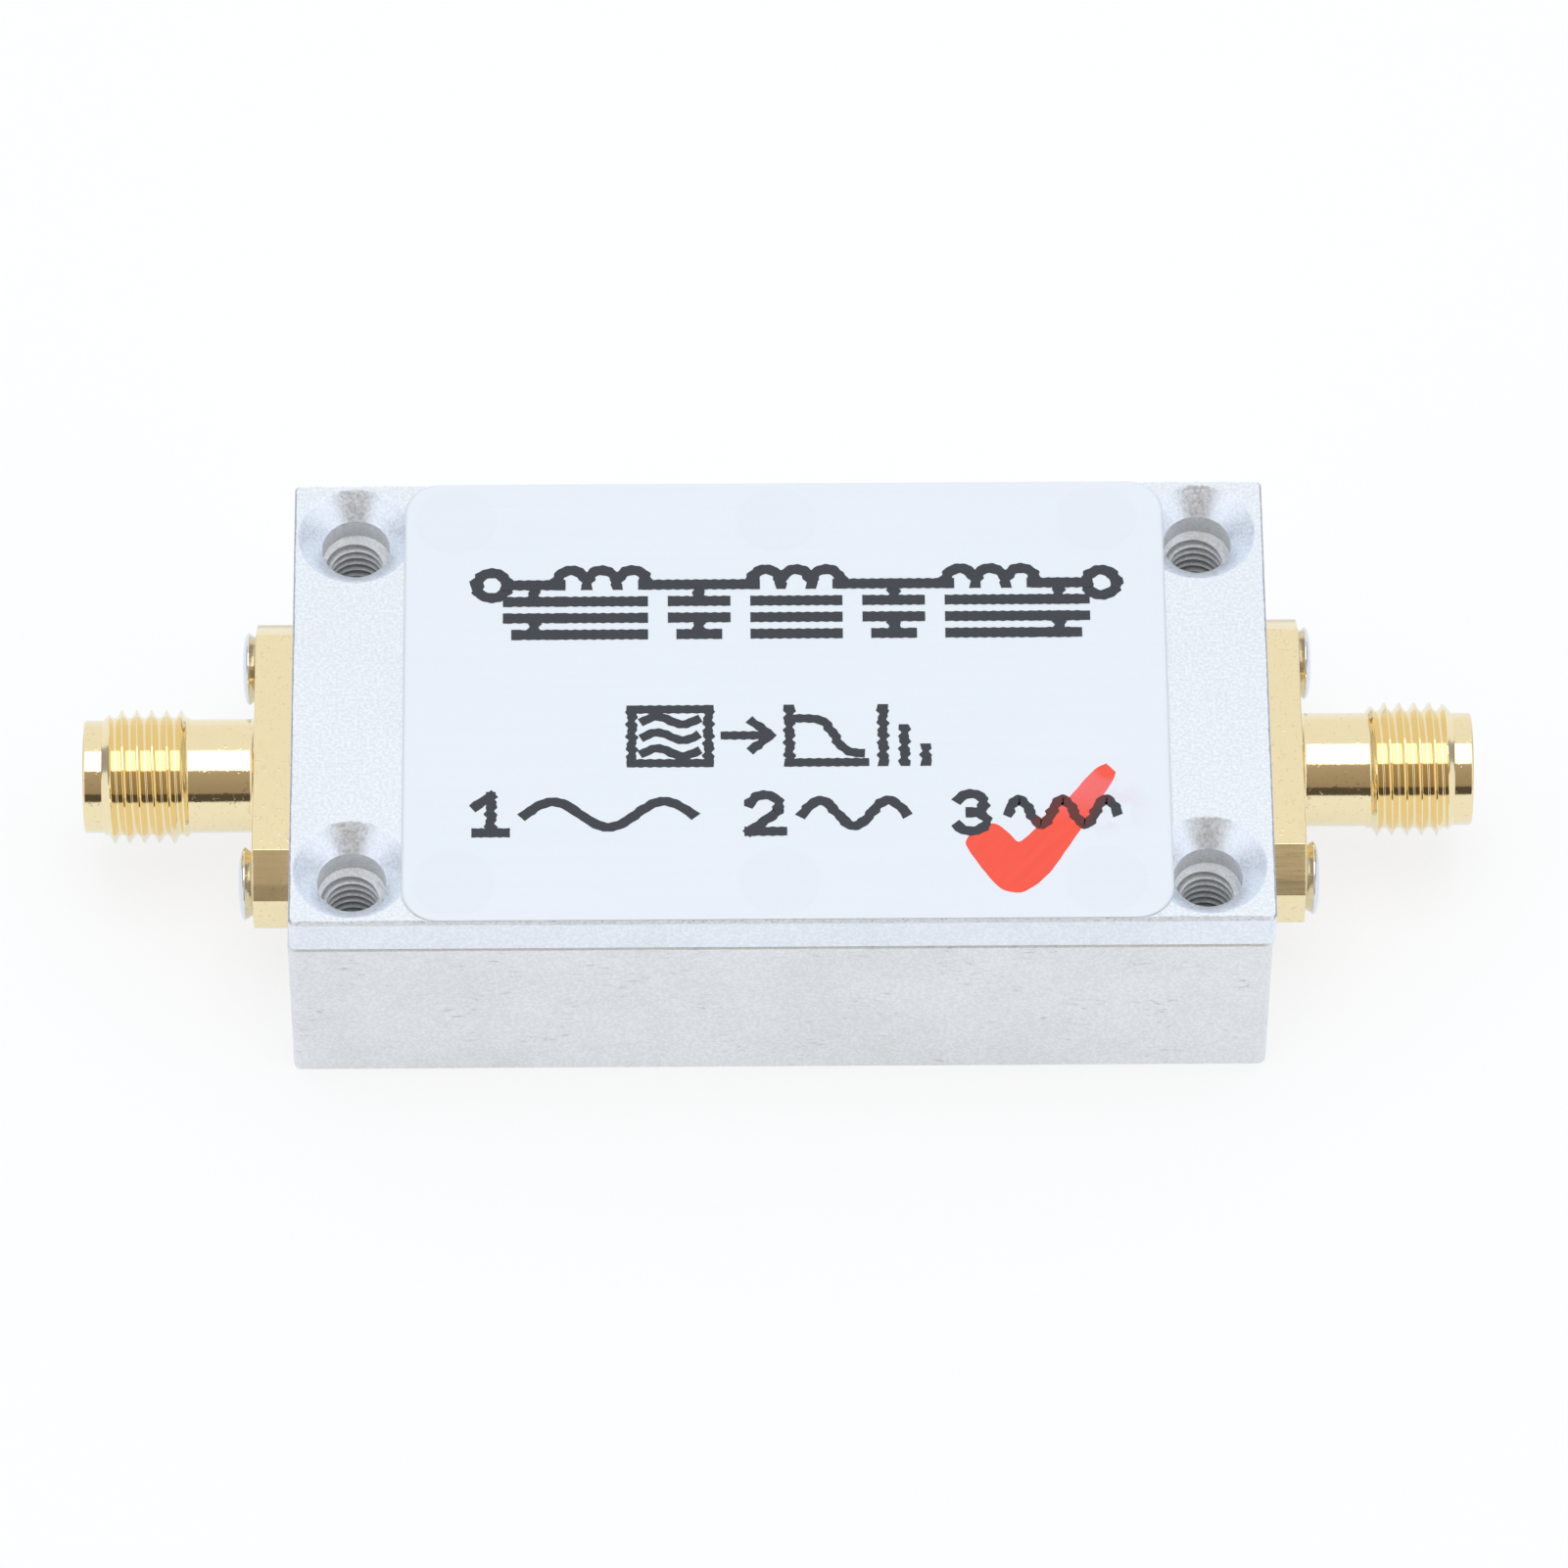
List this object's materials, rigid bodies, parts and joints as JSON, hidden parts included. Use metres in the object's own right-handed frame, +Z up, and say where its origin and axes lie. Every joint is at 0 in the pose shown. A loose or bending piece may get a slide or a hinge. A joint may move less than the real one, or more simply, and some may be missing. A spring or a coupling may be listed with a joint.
{
  "type": "coaxial low-pass filter module",
  "caption": "Milled aluminium filter module with a screwed lid, a thin label film and a flange-mounted threaded coaxial jack at each end.",
  "frame": {"origin": "middle of the housing's underside, on the surface that the module stands on", "axes": "+X along the axis of the two jacks towards the right jack, +Y to the back, +Z up through the lid"},
  "size_m": [0.0658, 0.025, 0.0128],
  "materials": {
    "housing_metal": "bead blasted and clear anodised",
    "lid_metal": "bead blasted and clear anodised",
    "label_film": "satin white film with dark print",
    "gold_plate": "turned and gold plated",
    "insulator_plastic": "waxy white",
    "contact_gold": "gold plated",
    "flange_screw_steel": "nickel plated",
    "lid_screw_steel": "plain stainless",
    "board_laminate": "glass laminate with solder mask",
    "board_screw_steel": "plain stainless",
    "coil_wire": "enamelled copper",
    "capacitor_ceramic": "fired ceramic with tinned ends"
  },
  "bodies": {
    "root": {"housing": "housing_metal", "lid": "lid_metal", "label": "label_film", "left_jack_body": "gold_plate", "right_jack_body": "gold_plate", "left_insulator": "insulator_plastic", "right_insulator": "insulator_plastic", "left_centre_contact": "contact_gold", "right_centre_contact": "contact_gold", "left_flange_screw_front": "flange_screw_steel", "left_flange_screw_back": "flange_screw_steel", "right_flange_screw_front": "flange_screw_steel", "right_flange_screw_back": "flange_screw_steel", "lid_screw_1": "lid_screw_steel", "lid_screw_2": "lid_screw_steel", "lid_screw_3": "lid_screw_steel", "lid_screw_4": "lid_screw_steel", "lid_screw_5": "lid_screw_steel", "lid_screw_6": "lid_screw_steel", "circuit_board": "board_laminate", "board_screw_1": "board_screw_steel", "board_screw_2": "board_screw_steel", "board_screw_3": "board_screw_steel", "board_screw_4": "board_screw_steel", "series_coil_1": "coil_wire", "series_coil_2": "coil_wire", "series_coil_3": "coil_wire", "shunt_capacitor_1": "capacitor_ceramic", "shunt_capacitor_2": "capacitor_ceramic", "shunt_capacitor_3": "capacitor_ceramic", "shunt_capacitor_4": "capacitor_ceramic"}
  },
  "joints": []
}
